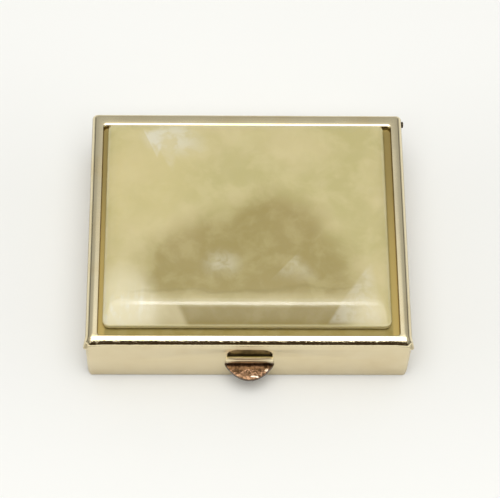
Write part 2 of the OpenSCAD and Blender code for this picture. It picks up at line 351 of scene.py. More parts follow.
def makeSatinGilt():
    # gilt lining sheet: soft satin, rolled grain along the width
    material, tree = newMaterial("satinGiltLining")
    place = millimetres(tree)
    grain = add(tree, "TexNoise",
                {"Vector": add(tree, "Mapping", {"Vector": place, "Scale": (0.05, 1, 1)}),
                 "Scale": 1 / 0.22, "Detail": 3})
    worn = add(tree, "TexNoise", {"Vector": place, "Scale": 1 / 7, "Detail": 3})
    worn = add(tree, "MapRange", [worn, 0.35, 0.75], **softly)
    tint = add(tree, "Mix", {0: worn, 6: linear("dcc58c"), 7: linear("c9ad6c")}, **inColour)
    rough = add(tree, "MapRange", [grain, 0.25, 0.8, 0.24, 0.4], **softly)
    normal = add(tree, "Bump", {"Height": grain, "Strength": 0.5, "Distance": 0.003 * mm})
    finishShader(tree, {"Base Color": tint, "Roughness": rough, "Normal": normal, "Metallic": 1.0})
    return material


def makeDrawnSteel():
    # drawn steel wire, painted dark as the shade on the pin's end: fine rings round the pin
    material, tree = newMaterial("drawnSteelPin")
    place = millimetres(tree)
    rings = add(tree, "TexNoise",
                {"Vector": add(tree, "Mapping", {"Vector": place, "Scale": (1, 0.1, 0.1)}),
                 "Scale": 1 / 0.12, "Detail": 2})
    tint = add(tree, "Mix", {0: rings, 6: linear("6f6556"), 7: linear("3c352c")}, **inColour)
    rough = add(tree, "MapRange", [rings, 0.3, 0.7, 0.3, 0.5], **softly)
    normal = add(tree, "Bump", {"Height": rings, "Strength": 0.6, "Distance": 0.004 * mm})
    finishShader(tree, {"Base Color": tint, "Roughness": rough, "Normal": normal, "Metallic": 1.0})
    return material


def makeSpringBronze():
    # rolled phosphor bronze strip, painted dark as the shade in its slot, with tarnish patches
    material, tree = newMaterial("phosphorBronzeSpring")
    place = millimetres(tree)
    grain = add(tree, "TexNoise",
                {"Vector": add(tree, "Mapping", {"Vector": place, "Scale": (0.08, 1, 1)}), "Scale": 1 / 0.2,
                 "Detail": 3})
    # tarnish patches; both tones are dark as painted shade
    tarnishAndShade = add(tree, "MapRange",
                  [add(tree, "TexNoise", {"Vector": place, "Scale": 1 / 1.6, "Detail": 4}), 0.35, 0.7],
                  **softly)
    tint = add(tree, "Mix", {0: tarnishAndShade, 6: linear("786440"), 7: linear("4f4226")}, **inColour)
    rough = add(tree, "MapRange", [tarnishAndShade, 0, 1, 0.32, 0.55])
    normal = add(tree, "Bump", {"Height": grain, "Strength": 0.5, "Distance": 0.004 * mm})
    finishShader(tree, {"Base Color": tint, "Roughness": rough, "Normal": normal, "Metallic": 1.0})
    return material


def makeWornCopper():
    # stamped copper tab: dark in the hollows of the die's streaks, pink where thumbs rub, with painted
    # glints near the rim and painted shade in the bend and along the edge
    material, tree = newMaterial("wornStampedCopper")
    place = millimetres(tree)
    apart = add(tree, "SeparateXYZ", [place]).node
    streak = add(tree, "TexNoise",
                 {"Vector": add(tree, "Mapping", {"Vector": place, "Scale": (1, 0.5, 1)}),
                  "Scale": 1 / 0.65, "Detail": 4, "Roughness": 0.55, "Distortion": 0.5})
    dark = add(tree, "MapRange",
               [add(tree, "TexNoise", {"Vector": place, "Scale": 1 / 0.6, "Detail": 4, "Roughness": 0.6}),
                0.36, 0.62], **softly)
    tint = add(tree, "Mix", {0: dark, 6: linear("3c2b18"), 7: linear("82644b")}, **inColour)
    # rubbed pink in the middle; painted shade in the bend and along the lower edge
    rubbed = softSpot(tree, place, (0.4, -21.7), (3.0, 1.1), 0, 0.5)
    pink = add(tree, "Math", [add(tree, "MapRange", [streak, 0.42, 0.62], **softly), rubbed], **times)
    tint = add(tree, "Mix", {0: pink, 6: tint, 7: linear("8f7058")}, **inColour)
    # painted glints: two spots near the rim painted bright, where highlights fall
    paintedGlint = add(tree, "Math",
                    [softSpot(tree, place, (1.0, -22.75), (0.55, 0.14), -6, 0.4),
                     softSpot(tree, place, (2.85, -21.65), (0.3, 0.22), 30, 0.4)], operation="MAXIMUM")
    paintedGlint = add(tree, "Math", [paintedGlint, add(tree, "MapRange", [streak, 0.38, 0.5, 0.5, 1], **softly)],
                    **times)
    tint = add(tree, "Mix", {0: paintedGlint, 6: tint, 7: linear("f2dcc6")}, **inColour)
    # painted shade: dark in the bend under the flange
    bend = add(tree, "MapRange", [apart.outputs["Y"], -21.1, -20.88], **softly)
    tint = add(tree, "Mix", {0: add(tree, "Math", [bend, 0.85], **times), 6: tint, 7: linear("3c2817")},
               **inColour)
    # painted shade: dark along the tab's lower edge
    tint = add(tree, "Mix", {0: add(tree, "MapRange", [apart.outputs["Z"], 4.46, 4.38], **softly), 6: tint,
                             7: linear("4a3826")}, **inColour)
    rough = add(tree, "MapRange", [streak, 0.35, 0.62, 0.34, 0.12], **softly)
    normal = add(tree, "Bump", {"Height": streak, "Strength": 0.8, "Distance": 0.13 * mm})
    grain = add(tree, "TexNoise", {"Vector": place, "Scale": 1 / 0.3, "Detail": 3})
    normal = add(tree, "Bump",
                 {"Height": grain, "Strength": 0.5, "Distance": 0.03 * mm, "Normal": normal})
    # the face falls away towards the rim, most at the right, where it catches the light
    inner = softSpot(tree, place, (latchMiddle(), -20.5), (3.4, 2.42), 0, 0.1)
    fall = add(tree, "Math", [inner,
                              add(tree, "MapRange", [apart.outputs["X"], -1.2, 0.6, 0.15, 1], **softly)],
               **times)
    normal = add(tree, "Bump", {"Height": fall, "Strength": 1.0, "Distance": 0.12 * mm, "Normal": normal})
    finishShader(tree, {"Base Color": tint, "Roughness": rough, "Normal": normal, "Metallic": 1.0})
    return material


def makeCement():
    # set white cement: chalky, fine grained
    material, tree = newMaterial("whiteCement")
    place = millimetres(tree)
    grain = add(tree, "TexNoise", {"Vector": place, "Scale": 1 / 0.25, "Detail": 4})
    tint = add(tree, "Mix", {0: grain, 6: linear("dcd6c4"), 7: linear("b9b19a")}, **inColour)
    normal = add(tree, "Bump", {"Height": grain, "Strength": 0.6, "Distance": 0.03 * mm})
    finishShader(tree, {"Base Color": tint, "Normal": normal, "Roughness": 0.85})
    return material


stoneLook = {
    "cream": "ccbf8e", "green": "beb47d", "pale": "d5c998", "reflectionOlive": "97864b", "band": "857214",
    "crystalAndHighlight": "dcd8c4",
    "cloudPeriod": 11.0, "mottlePeriod": 3.2, "warp": 7.0,
}


def softSpot(tree, place, centre, radii, turn, edge):
    # an oval area that fades out at its edge: 1 inside, 0 outside
    moved = add(tree, "Mapping",
                {"Vector": place, "Location": (centre[0], centre[1], 0),
                 "Rotation": (0, 0, math.radians(turn)), "Scale": (radii[0], radii[1], 1000)},
                vector_type="TEXTURE")
    far = add(tree, "VectorMath", [moved], out="Value", operation="LENGTH")
    return add(tree, "MapRange", [far, 1 - edge, 1 + edge, 1, 0], **softly)


def halfPlane(tree, apart, point, angle, blur):
    # 1 on the side that the angle points to, 0 on the other
    across = add(tree, "Math", [add(tree, "Math", [apart.outputs["X"], point[0]], operation="SUBTRACT"),
                                math.cos(math.radians(angle))], **times)
    along = add(tree, "Math", [add(tree, "Math", [apart.outputs["Y"], point[1]], operation="SUBTRACT"),
                               math.sin(math.radians(angle))], **times)
    return add(tree, "MapRange", [add(tree, "Math", [across, along], **plus), -blur, blur], **softly)


def wedge(tree, apart, sides, fade):
    # a flat crystal face, inside all its straight sides: each a point on it, its inward angle and its blur
    inside = None
    for point, angle, blur in sides:
        part = halfPlane(tree, apart, point, angle, blur)
        inside = part if inside is None else add(tree, "Math", [inside, part], **times)
    return add(tree, "Math", [inside, fade], **times)


def makeOnyx():
    # polished green onyx: cloudy translucent layers and white crystal faces, with painted light: the
    # viewer's reflection as a darker olive dome, a darker reflection along the front roll, a highlight at
    # the lower left and a paler edge
    material, tree = newMaterial("polishedGreenOnyx")
    place = millimetres(tree)
    apart = add(tree, "SeparateXYZ", [place]).node
    # cream and green clouds, bent by a slow warp
    warp = add(tree, "TexNoise", {"Vector": place, "Scale": 1 / stoneLook["warp"], "Detail": 2.0},
               out="Color")
    centred = add(tree, "VectorMath", [warp, (0.5, 0.5, 0.5)], operation="SUBTRACT")
    push = add(tree, "VectorMath", {0: centred, "Scale": 4.0}, operation="SCALE")
    bent = add(tree, "VectorMath", [place, push], operation="ADD")
    clouds = add(tree, "MapRange",
                 [add(tree, "TexNoise", {"Vector": bent, "Scale": 1 / stoneLook["cloudPeriod"],
                                         "Detail": 3}), 0.34, 0.66], **softly)
    tint = add(tree, "Mix", {0: clouds, 6: linear(stoneLook["green"]), 7: linear(stoneLook["cream"])},
               **inColour)
    mottle = add(tree, "MapRange",
                 [add(tree, "TexNoise", {"Vector": bent, "Scale": 1 / stoneLook["mottlePeriod"],
                                         "Detail": 4, "Roughness": 0.55}), 0.38, 0.7], **softly)
    tint = add(tree, "Mix", {0: add(tree, "Math", [mottle, 0.4], **times), 6: tint,
                             7: linear(stoneLook["pale"])}, **inColour)
    # warmer ground at the upper left
    warm = softSpot(tree, bent, (-17, 7), (9, 8), 30, 0.6)
    tint = add(tree, "Mix", {0: add(tree, "Math", [warm, 0.45], **times), 6: tint, 7: linear("d2c48c")},
               **inColour)
    # painted reflection of the viewer: a broad darker olive dome, low in the middle
    viewerReflection = add(tree, "Math", [softSpot(tree, bent, (-0.5, -12.0), (17.4, 13.5), 4, 0.2),
                               softSpot(tree, bent, (3.2, -7.2), (9.4, 11.6), -6, 0.26)],
                operation="MAXIMUM")
    viewerReflection = add(tree, "Math", [viewerReflection, add(tree, "MapRange", [mottle, 0, 1, 0.8, 0.6])], **times)
    viewerReflection = add(tree, "Math", [viewerReflection,
                               add(tree, "MapRange", [apart.outputs["Y"], -13.6, -12.4, 0.62, 1],
                                   **softly)], **times)
    tint = add(tree, "Mix", {0: viewerReflection, 6: tint, 7: linear(stoneLook["reflectionOlive"])}, **inColour)
    # paler layer between the painted reflection and the front
    layer = softSpot(tree, bent, (0, -13.6), (24, 1.1), 0, 0.5)
    tint = add(tree, "Mix", {0: add(tree, "Math", [layer, 0.12], **times), 6: tint,
                             7: linear(stoneLook["pale"])}, **inColour)
    # painted reflection and shade: the sloping front roll painted darker, ending in straight faces
    band = wedge(tree, apart, [((-9.9, -16.5), 27, 0.5), ((15.2, -16.5), 165, 2.2), ((0, -14.7), -90, 0.5)],
                 1.0)
    streaky = add(tree, "MapRange", [mottle, 0, 1, 1, 0.85])
    tint = add(tree, "Mix", {0: add(tree, "Math", [band, streaky], **times), 6: tint,
                             7: linear(stoneLook["band"])}, **inColour)
    # painted highlight at the lower left: a paler patch with white streaks
    pale = softSpot(tree, bent, (-19.8, -14.6), (5.6, 5.4), 0, 0.4)
    tint = add(tree, "Mix", {0: add(tree, "Math", [pale, 0.7], **times), 6: tint, 7: linear("e0d7b2")},
               **inColour)
    thread = add(tree, "MapRange",
                 [add(tree, "TexNoise", {"Vector": add(tree, "Mapping",
                                                       {"Vector": place, "Scale": (1, 0.25, 1)}),
                                         "Scale": 1 / 0.9, "Detail": 4}), 0.42, 0.7], **softly)
    paintedStreaks = add(tree, "Math", [softSpot(tree, bent, (-19.4, -14.8), (4.0, 2.6), 12, 0.7), thread],
                  **times)
    # white crystal faces, soft inside the stone; the painted highlight streaks join them
    veil = add(tree, "MapRange",
               [add(tree, "TexNoise", {"Vector": place, "Scale": 1 / 2.2, "Detail": 4, "Roughness": 0.55,
                                       "Distortion": 0.5}), 0.36, 0.6, 0.35, 1], **softly)
    low = wedge(tree, apart, [((7.2, -6.3), -42, 0.15), ((7.2, -6.3), 218, 1.2), ((5.0, -9.6), 85, 1.6)],
                0.3)
    right = wedge(tree, apart, [((17.4, -9.6), -34, 0.3), ((18.9, -9.6), 188, 0.9),
                                ((18.0, -17.2), 90, 0.4)], 0.34)
    upper = add(tree, "Math", [softSpot(tree, bent, (-12.0, 14.6), (3.9, 2.4), -12, 0.6), 0.62], **times)
    chip = wedge(tree, apart, [((-12.0, 8.7), 28, 0.3), ((-12.0, 8.7), 170, 0.5), ((-12, 13.6), -75, 0.9)],
                 0.2)
    spike = wedge(tree, apart, [((-14.4, 11.2), 24, 0.12), ((-14.4, 11.2), 160, 0.25),
                                ((-15, 16.3), -82, 0.7)], 0.8)
    spot = add(tree, "Math", [softSpot(tree, place, (-4.1, -7.7), (2.1, 1.7), 0, 0.95), 0.42], **times)
    crystalAndHighlight = upper
    for face in (low, right, chip, spike, spot, paintedStreaks):
        crystalAndHighlight = add(tree, "Math", [crystalAndHighlight, face], operation="MAXIMUM")
    crystalAndHighlight = add(tree, "Math", [crystalAndHighlight, veil], **times)
    tint = add(tree, "Mix", {0: crystalAndHighlight, 6: tint, 7: linear(stoneLook["crystalAndHighlight"])}, **inColour)
    # painted light: the thin edge is painted paler all round
    paintedEdgeLight = add(tree, "MapRange", [apart.outputs["Z"], 12.15, 11.9, 0, 0.85], **softly)
    tint = add(tree, "Mix", {0: paintedEdgeLight, 6: tint, 7: linear("ece0b0")}, **inColour)
    # one fine dark vein across the front
    line = add(tree, "VectorMath", [bent, (-0.03, 1, 0)], out="Value", operation="DOT_PRODUCT")
    vein = add(tree, "Math", [add(tree, "Math", [line, 12.2], **plus)], operation="ABSOLUTE")
    veinMask = add(tree, "Math", [add(tree, "MapRange", [vein, 0.05, 0.4, 0.22, 0], **softly), viewerReflection],
                   **times)
    tint = add(tree, "Mix", {0: veinMask, 6: tint, 7: linear("7f7440")}, **inColour)
    polish = add(tree, "TexNoise", {"Vector": place, "Scale": 1 / 5, "Detail": 3})
    rough = add(tree, "Math", [add(tree, "MapRange", [polish, 0.3, 0.7, 0.06, 0.1], **softly),
                               add(tree, "Math", [crystalAndHighlight, 0.04], **times)], **plus)
    swell = add(tree, "TexNoise", {"Vector": place, "Scale": 1 / 8, "Detail": 1})
    normal = add(tree, "Bump", {"Height": swell, "Strength": 0.5, "Distance": 0.06 * mm})
    finishShader(tree, {"Base Color": tint, "Roughness": rough, "Normal": normal, "IOR": 1.52,
                        "Subsurface Weight": 0.25, "Subsurface Radius": (1.0, 0.85, 0.5),
                        "Subsurface Scale": 0.0015})
    return material


def makeFloor():
    # matte white paper board
    material, tree = newMaterial("whitePaperBoard")
    place = millimetres(tree)
    ahead = add(tree, "SeparateXYZ", [place], out="Y")
    # painted shade: the board is a little darker in a band across the box's middle, lighter further out
    paintedFloorShade = add(tree, "MapRange", [add(tree, "Math", [ahead], operation="ABSOLUTE"), 8, 46], **softly)
    tint = add(tree, "Mix", {0: paintedFloorShade, 6: linear("ededea"), 7: linear("f6f6f3")}, **inColour)
    tint = add(tree, "Mix", {0: add(tree, "Math",
                                    [add(tree, "TexNoise", {"Vector": place, "Scale": 1 / 60, "Detail": 2}),
                                     0.3], **times), 6: tint, 7: linear("efefe9")}, **inColour)
    finishShader(tree, {"Base Color": tint, "Roughness": 0.95, "Specular IOR Level": 0.1})
    return material


lidShell = {
    "sheet": 0.3,
    "cornerRadius": 0.6,
    "sideRoll": 1.25,          # rolled outer edge at the sides
    "backRoll": 0.8,
    "frontRoll": 1.62,         # wider roll at the front, which stops in a crease
    "startTurn": 5, "creaseTurn": 63,   # degrees from level where the front roll begins and ends
    "sideEdge": 0.08, "frontEdge": 0.12, "backEdge": 0.66,   # rounding of the recess's upper edge
    "recessFoot": 0.1,         # rounding at the recess's floor
    "sideSlope": 85,           # degrees of the recess's side walls
    "rimSide": 1.78, "rimBack": 2.48,
    # how far the folded front corners stand sharp, above and below the crease
    "earHigh": 0.6, "earLow": 1.5,
    # how far they stand out at the front and side, and hang down
    "earBulge": 0.2, "earReach": 0.34, "earDrop": 0.7,
    "bulgeStart": 22.3, "bulgeSpan": 2.7,   # where the bulge begins along X, and its length
    "recessDepth": 0.75,
    "sideSkirtLow": 5.5,
    "backLipLow": 10.7,
    "cornerCut": 22.4,         # a cut that keeps the corners' faces short
    "windowWidth": 7.05, "windowLow": 6.75, "windowHeight": 2.7, "shoulder": 1.8,
    "pinBore": 0.45, "axisY": 19.55, "axisZ": 9.95,
    "lowerCornerRise": 1.7,    # how far the front skirt's lower corners curve up
}


def rollInset(radius, drop):
    # how far a rolled edge has drawn in where it is a drop below the top
    if drop >= radius:
        return 0
    return radius - math.sqrt(radius * radius - (radius - drop) ** 2)


def addMouthTool(name, width, low, height, shoulder, y0, y1):
    # a bar with two round shoulders, to cut the window
    x = latchMiddle()
    tool = addBlock(name, (x - width / 2, y0, low), (x + width / 2, y1, low + height))
    edit(tool)
    top = low + height
    pick("EDGE", lambda e: middle(e).z > top - 1e-3 and abs(e.verts[0].co.x - e.verts[1].co.x) < 1e-3)
    bevelEdges(shoulder, 10)
    leaveEdit()
    return tool


def makeLidShell(materials):
    s = lidShell
    low, high = nodeBox("lid_shell")
    top = high[2]
    startTurn, endTurn = math.radians(s["startTurn"]), math.radians(s["creaseTurn"])
    crease = s["frontRoll"] * (math.cos(startTurn) - math.cos(endTurn))

    def frontInset(drop):
        # the front roll goes from its first tilt down to the crease
        if drop >= crease:
            return 0
        here = math.cos(startTurn) - drop / s["frontRoll"]
        return s["frontRoll"] * (math.sin(endTurn) - math.sqrt(1 - here * here))

    piece = addBlock("lidShell", low, (high[0], high[1], top - s["sideRoll"]))
    edit(piece)
    pick("FACE", lambda f: f.normal.z < -0.9)
    bpy.ops.mesh.delete(type="ONLY_FACE")
    pick("EDGE", isUpright)
    bevelEdges(s["cornerRadius"], 6)
    pick("FACE", lambda f: f.normal.z > 0.9)
    turns = [math.radians(90 * i / 12) for i in range(11, -1, -1)]
    drops = [s["sideRoll"] * (1 - math.cos(t)) for t in turns] + [crease, s["backRoll"]]
    drops.sort(reverse=True)
    for drop in drops:
        side = rollInset(s["sideRoll"], drop)
        nextRing(low[0] + side, high[0] - side, low[1] + frontInset(drop),
                 high[1] - rollInset(s["backRoll"], drop), top - drop)
    # the rim's flat, then its inner edge, the wall and the floor of the recess
    left, right = low[0] + s["rimSide"], high[0] - s["rimSide"]
    foot = s["recessFoot"]
    sideEdge, frontEdge, backEdge = s["sideEdge"], s["frontEdge"], s["backEdge"]
    front, back = low[1] + frontInset(0) + frontEdge + 0.02, high[1] - s["rimBack"]
    floor = top - s["recessDepth"]
    slope = math.radians(s["sideSlope"])
    slopeFall = sideEdge * (1 - math.cos(slope))

    def sideShift(fall):
        # the side walls round over, then slope down to the floor
        if fall <= slopeFall:
            return sideEdge * math.sqrt(max(0, 1 - (1 - fall / sideEdge) ** 2))
        return sideEdge * math.sin(slope) + (fall - slopeFall) / math.tan(slope)

    falls = {0, slopeFall, s["recessDepth"] - foot, s["recessDepth"]}
    for edge in (frontEdge, backEdge):
        falls.update(round(edge * (1 - math.cos(math.radians(90 * i / 6))), 3) for i in range(1, 7))
    for fall in sorted(falls):
        side = sideShift(fall)
        ends = foot if fall == s["recessDepth"] else 0
        nextRing(left + side, right - side, front - rollInset(frontEdge, fall) + ends,
                 back + rollInset(backEdge, fall) - ends, top - fall)
    # side skirts, front corners and the short back lip
    cutAt((0, 0, s["sideSkirtLow"]), (0, 0, 1))
    cutAt((0, 0, s["backLipLow"]), (0, 0, 1))
    foldLevel = top - crease
    cutAt((0, 0, foldLevel - s["earLow"]), (0, 0, 1))
    for x in (-s["cornerCut"], s["cornerCut"]):
        cutAt((x, 0, 0), (1, 0, 0))
    cornerY = low[1] + s["cornerRadius"]
    earBack = cornerY + 1.0
    cutAt((0, earBack, 0), (0, 1, 0))
    backCorner = high[1] - s["cornerRadius"]
    skirtX = high[0] - s["sheet"]
    pick("FACE", lambda f: abs(f.normal.z) < 0.1 and (
        (middle(f).z < s["sideSkirtLow"] and middle(f).y > cornerY + 1e-3) or
        (middle(f).z < s["backLipLow"] and middle(f).y > backCorner and abs(middle(f).x) < skirtX)))
    bpy.ops.mesh.delete(type="FACE")
    # round the front skirt's lower corners as they wrap round
    shape = bmesh.from_edit_mesh(piece.data)
    bottom = low[2]
    reach = high[0] - s["cornerRadius"]
    for v in shape.verts:
        if v.co.z < bottom + 1e-3 and abs(v.co.x) > reach + 1e-3:
            across = (abs(v.co.x) - reach) / s["cornerRadius"]
            v.co.z += s["lowerCornerRise"] * (1 - math.sqrt(max(0, 1 - across * across)))
    # the folded front corners stand sharp at the crease and bulge a little
    for v in shape.verts:
        over = v.co.z - foldLevel
        weight = max(0, 1 - over / s["earHigh"] if over > 0 else 1 + over / s["earLow"])
        if weight <= 0 or v.co.y > cornerY + 1e-3 or v.co.z < 8:
            continue
        if abs(v.co.x) > reach:
            side = math.copysign(1, v.co.x)
            v.co.x += side * s["earReach"] * weight
            v.co.z -= s["earDrop"] * weight
            inX = min(1, (abs(v.co.x) - reach) / s["cornerRadius"])
            inY = min(1, (cornerY - v.co.y) / s["cornerRadius"])
            grow = s["cornerRadius"] * 0.8 * weight
            v.co.x += side * grow * max(0, min(inX, 1 - (1 - inY) ** 2) - inX * inX) if inX < 1 else 0
            v.co.y -= grow * max(0, math.sqrt(max(0, 1 - inY)) * 0.6) * inX
        if v.co.y < low[1] + 0.35 and abs(v.co.x) > s["bulgeStart"]:
            v.co.y -= s["earBulge"] * weight * (abs(v.co.x) - s["bulgeStart"]) / s["bulgeSpan"]
    bmesh.update_edit_mesh(piece.data)
    tidyMesh()
    # the walls come off as their own piece, so that the window and bores cut plain sheet
    splitLevel = top - s["sideRoll"] - 0.02
    cutAt((0, 0, splitLevel), (0, 0, 1))
    pick("FACE", lambda f: middle(f).z < splitLevel)
    bpy.ops.mesh.separate(type="SELECTED")
    leaveEdit()
    skirt = [o for o in bpy.context.selected_objects if o != piece][0]
    skirt.name = skirt.data.name = "lidSkirt"
    modify(piece, "SOLIDIFY", thickness=s["sheet"], offset=-1, use_even_offset=True)
    modify(skirt, "SOLIDIFY", thickness=s["sheet"], offset=-1, use_even_offset=True)
    window = addMouthTool("window", s["windowWidth"], s["windowLow"], s["windowHeight"],
                          s["shoulder"], low[1] - 1, low[1] + 1)
    cutWith(skirt, window)
    bore = addRod("bore", (0, s["axisY"], s["axisZ"]), s["pinBore"], high[0] * 2 + 4)
    cutWith(skirt, bore)
    soften(skirt, 0.05, 2, 50)
    smooth(skirt)
    smooth(piece, 20)
    # the window's raw cut edge shows the brass, in the recess's painted-shade gold
    for material in materials:
        skirt.data.materials.append(material)
    wide, sill = s["windowWidth"] / 2 + 0.05, s["windowLow"]
    for facet in skirt.data.polygons:
        c = facet.center
        inWindow = abs(c.x - latchMiddle()) < wide and sill - 0.04 < c.z < sill + s["windowHeight"] + 0.04
        facet.material_index = 1 if inWindow and abs(facet.normal.y) < 0.8 and c.y < low[1] + 0.35 else 0
    finishPiece(skirt, "lid", ["lid_shell"], [])
    # faces of the recess take the painted-shade gold
    for material in materials:
        piece.data.materials.append(material)
    wallLow = top - 0.1
    for face in piece.data.polygons:
        c = face.center
        inX, inY = left - 0.08 < c.x < right + 0.08, front - 0.05 < c.y < back + 0.02
        face.material_index = 1 if inX and inY and floor - 0.05 < c.z < wallLow else 0
    finishPiece(piece, "lid", ["lid_shell"], [])


stoneSlab = {
    "cornerRadius": 1.0,
    "edgeRise": 0.25,       # top of the upright edge above the rim
    "sideRoll": 2.8,
    "frontRoll": 5.8, "frontSlope": 34,
    "rings": 26,
    "crownRise": 0.08,      # slow crown over the flat
    "crownRings": 8,
    "edgeRound": 0.12,
}


def makeStone(material):
    s = stoneSlab
    low, high = nodeBox("stone_slab")
    rimTop = nodeBox("lid_shell")[1][2]
    edgeTop = rimTop + s["edgeRise"]
    crown = high[2] - s["crownRise"]
    piece = addBlock("stoneSlab", low, (high[0], high[1], edgeTop))
    edit(piece)
    pick("EDGE", isUpright)
    bevelEdges(s["cornerRadius"], 8)
    pick("FACE", lambda f: f.normal.z > 0.9)
    slope = math.radians(s["frontSlope"])
    for i in range(1, s["rings"] + 1):
        turn = math.radians(90 * i / s["rings"])
        rise = math.sin(turn)
        side = s["sideRoll"] * (1 - math.cos(turn))
        here = math.acos(min(1, math.cos(slope) + rise * (1 - math.cos(slope))))
        ahead = s["frontRoll"] * (1 - math.sin(here) / math.sin(slope))
        nextRing(low[0] + side, high[0] - side, low[1] + ahead, high[1] - side,
                 edgeTop + (crown - edgeTop) * rise)
    # slow crown towards the middle
    ring0, ring1 = ringExtents()
    for i in range(1, s["crownRings"] + 1):
        half = 1 - i / (s["crownRings"] + 1)
        midX, midY = (ring0[0] + ring1[0]) / 2, (ring0[1] + ring1[1]) / 2
        wide, deep = (ring1[0] - ring0[0]) / 2 * half, (ring1[1] - ring0[1]) / 2 * half
        nextRing(midX - wide, midX + wide, midY - deep, midY + deep,
                 crown + s["crownRise"] * (1 - half * half))
    pick("FACE", lambda f: f.normal.z < -0.9)
    bpy.ops.mesh.inset(thickness=0.4, depth=0)
    tidyMesh()
    pick("EDGE", lambda e: abs(middle(e).z - edgeTop) < 1e-3 and len(e.link_faces) == 2
         and e.calc_face_angle() > math.radians(25))
    bevelEdges(s["edgeRound"], 3)
    leaveEdit()
    soften(piece, 0.1, 2, 50)
    smooth(piece, 40)
    finishPiece(piece, "lid", ["stone_slab"], [material])


thumbTab = {
    "width": 7.7, "reach": 2.75, "top": 4.5, "thickness": 0.6,
    "fullness": 0.85,        # 0.5 would be an oval, 1 a parabola
    "flangeWidth": 7.2, "flangeTop": 6.7, "flangeLow": 5.25, "flangeThickness": 0.25,
    "creaseLevel": 6.1,      # fine crease across the flange, which leans out below it
    "creaseDepth": 0.24, "creaseHalf": 0.1,
    "edgeRound": 0.14,
    "lean": 0.04,
}


def makeThumbTab(tabMaterial, flangeMaterial):
    s = thumbTab
    face = nodeBox("lid_shell")[0][1]
    x = latchMiddle()
    half = s["width"] / 2
    # the half-moon: a disc cut at the skirt and drawn out to its full outline
    deselectAll()
    bpy.ops.mesh.primitive_cylinder_add(vertices=128, radius=half, depth=s["thickness"],
                                        location=(x, face, s["top"] - s["thickness"] / 2))
    piece = bpy.context.object
    piece.name = piece.data.name = "thumbTab"
    bpy.ops.object.transform_apply(location=True, rotation=True, scale=True)
    edit(piece)
    cutAt((0, face, 0), (0, 1, 0), clearOuter=True, fill=True)
    shape = bmesh.from_edit_mesh(piece.data)
    for v in shape.verts:
        if v.co.y < face - 1e-4:
            v.co.y = face - s["reach"] * max(0, 1 - ((v.co.x - x) / half) ** 2) ** s["fullness"]
    bmesh.update_edit_mesh(piece.data)
    tidyMesh()
    leaveEdit()
    soften(piece, s["edgeRound"], 4, 50)
    smooth(piece, 40)
    finishPiece(piece, "lid", ["thumb_tab"], [tabMaterial])
    # the bend above the half-moon, and the gold flange on the skirt with its crease
    outer = face - s["flangeThickness"]
    wide = s["flangeWidth"] / 2
    bend = addBlock("tabBend", (x - wide, outer - s["lean"], s["top"] - 0.3),
                    (x + wide, face, s["flangeLow"] + 0.02))
    soften(bend, 0.08, 3, 50)
    smooth(bend, 40)
    finishPiece(bend, "lid", ["thumb_tab"], [tabMaterial])
    flange = addBlock("tabFlange", (x - wide, outer, s["flangeLow"]), (x + wide, face, s["flangeTop"]))
    edit(flange)
    level = s["creaseLevel"]
    for offset in (-s["creaseHalf"], 0, s["creaseHalf"]):
        cutAt((0, 0, level + offset), (0, 0, 1))
    pick("VERT", lambda v: abs(v.co.z - level) < 1e-3 and v.co.y < face - 0.1)
    bpy.ops.transform.translate(value=(0, s["creaseDepth"], 0))
    pick("VERT", lambda v: v.co.z < s["flangeLow"] + 1e-3 and v.co.y < face - 0.1)
    bpy.ops.transform.translate(value=(0, -s["lean"], 0))
    tidyMesh()
    leaveEdit()
    soften(flange, 0.06, 3, 50)
    smooth(flange, 30)
    finishPiece(flange, "lid", ["thumb_tab"], [flangeMaterial])


baseTray = {
    "radius": 1.0, "sheet": 0.3,
    "backWallTop": 9.2, "postWidth": 0.6,
    "notchDepth": 1.65,      # how far forward the back wall is cut down
    "holeMargin": 0.2, "holeShoulder": 1.6,
    "pinBore": 0.41, "boreLength": 60,
}


def makeBaseTray(material):
    s = baseTray
    low, high = nodeBox("base_tray")
    piece = addBlock("baseTray", low, high)
    edit(piece)
    pick("FACE", lambda f: f.normal.z > 0.9)
    bpy.ops.mesh.delete(type="ONLY_FACE")
    pick("EDGE", lambda e: isUpright(e) or middle(e).z < low[2] + 1e-3)
    bevelEdges(s["radius"], 8)
    tidyMesh()
    leaveEdit()
    modify(piece, "SOLIDIFY", thickness=s["sheet"], offset=-1, use_even_offset=True)
    notch = addBlock("notch", (low[0] + s["postWidth"], high[1] - s["notchDepth"], s["backWallTop"]),
                     (high[0] - s["postWidth"], high[1] + 1, high[2] + 1))
    cutWith(piece, notch)
    nibLow, nibHigh = nodeBox("catch_nib")
    m = s["holeMargin"]
    hole = addMouthTool("nibHole", nibHigh[0] - nibLow[0] + 2 * m, nibLow[2] - m,
                        nibHigh[2] - nibLow[2] + 2 * m, s["holeShoulder"], low[1] - 1, low[1] + 1)
    cutWith(piece, hole)
    bore = addRod("bore", (0, lidShell["axisY"], lidShell["axisZ"]), s["pinBore"], s["boreLength"])
    cutWith(piece, bore)
    soften(piece, 0.05, 2, 38)
    smooth(piece)
    finishPiece(piece, "base", ["base_tray"], [material])


hingePin = {
    "radius": 0.4, "headRadius": 0.5,
    "headRound": 0.12,
    "lap": 0.05,             # gap between the head and the lid's side
}


def dress(node, material):
    # gives a CAD node its material; its mesh stays as packed
    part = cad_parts[node]
    part.data.materials.clear()
    part.data.materials.append(material)


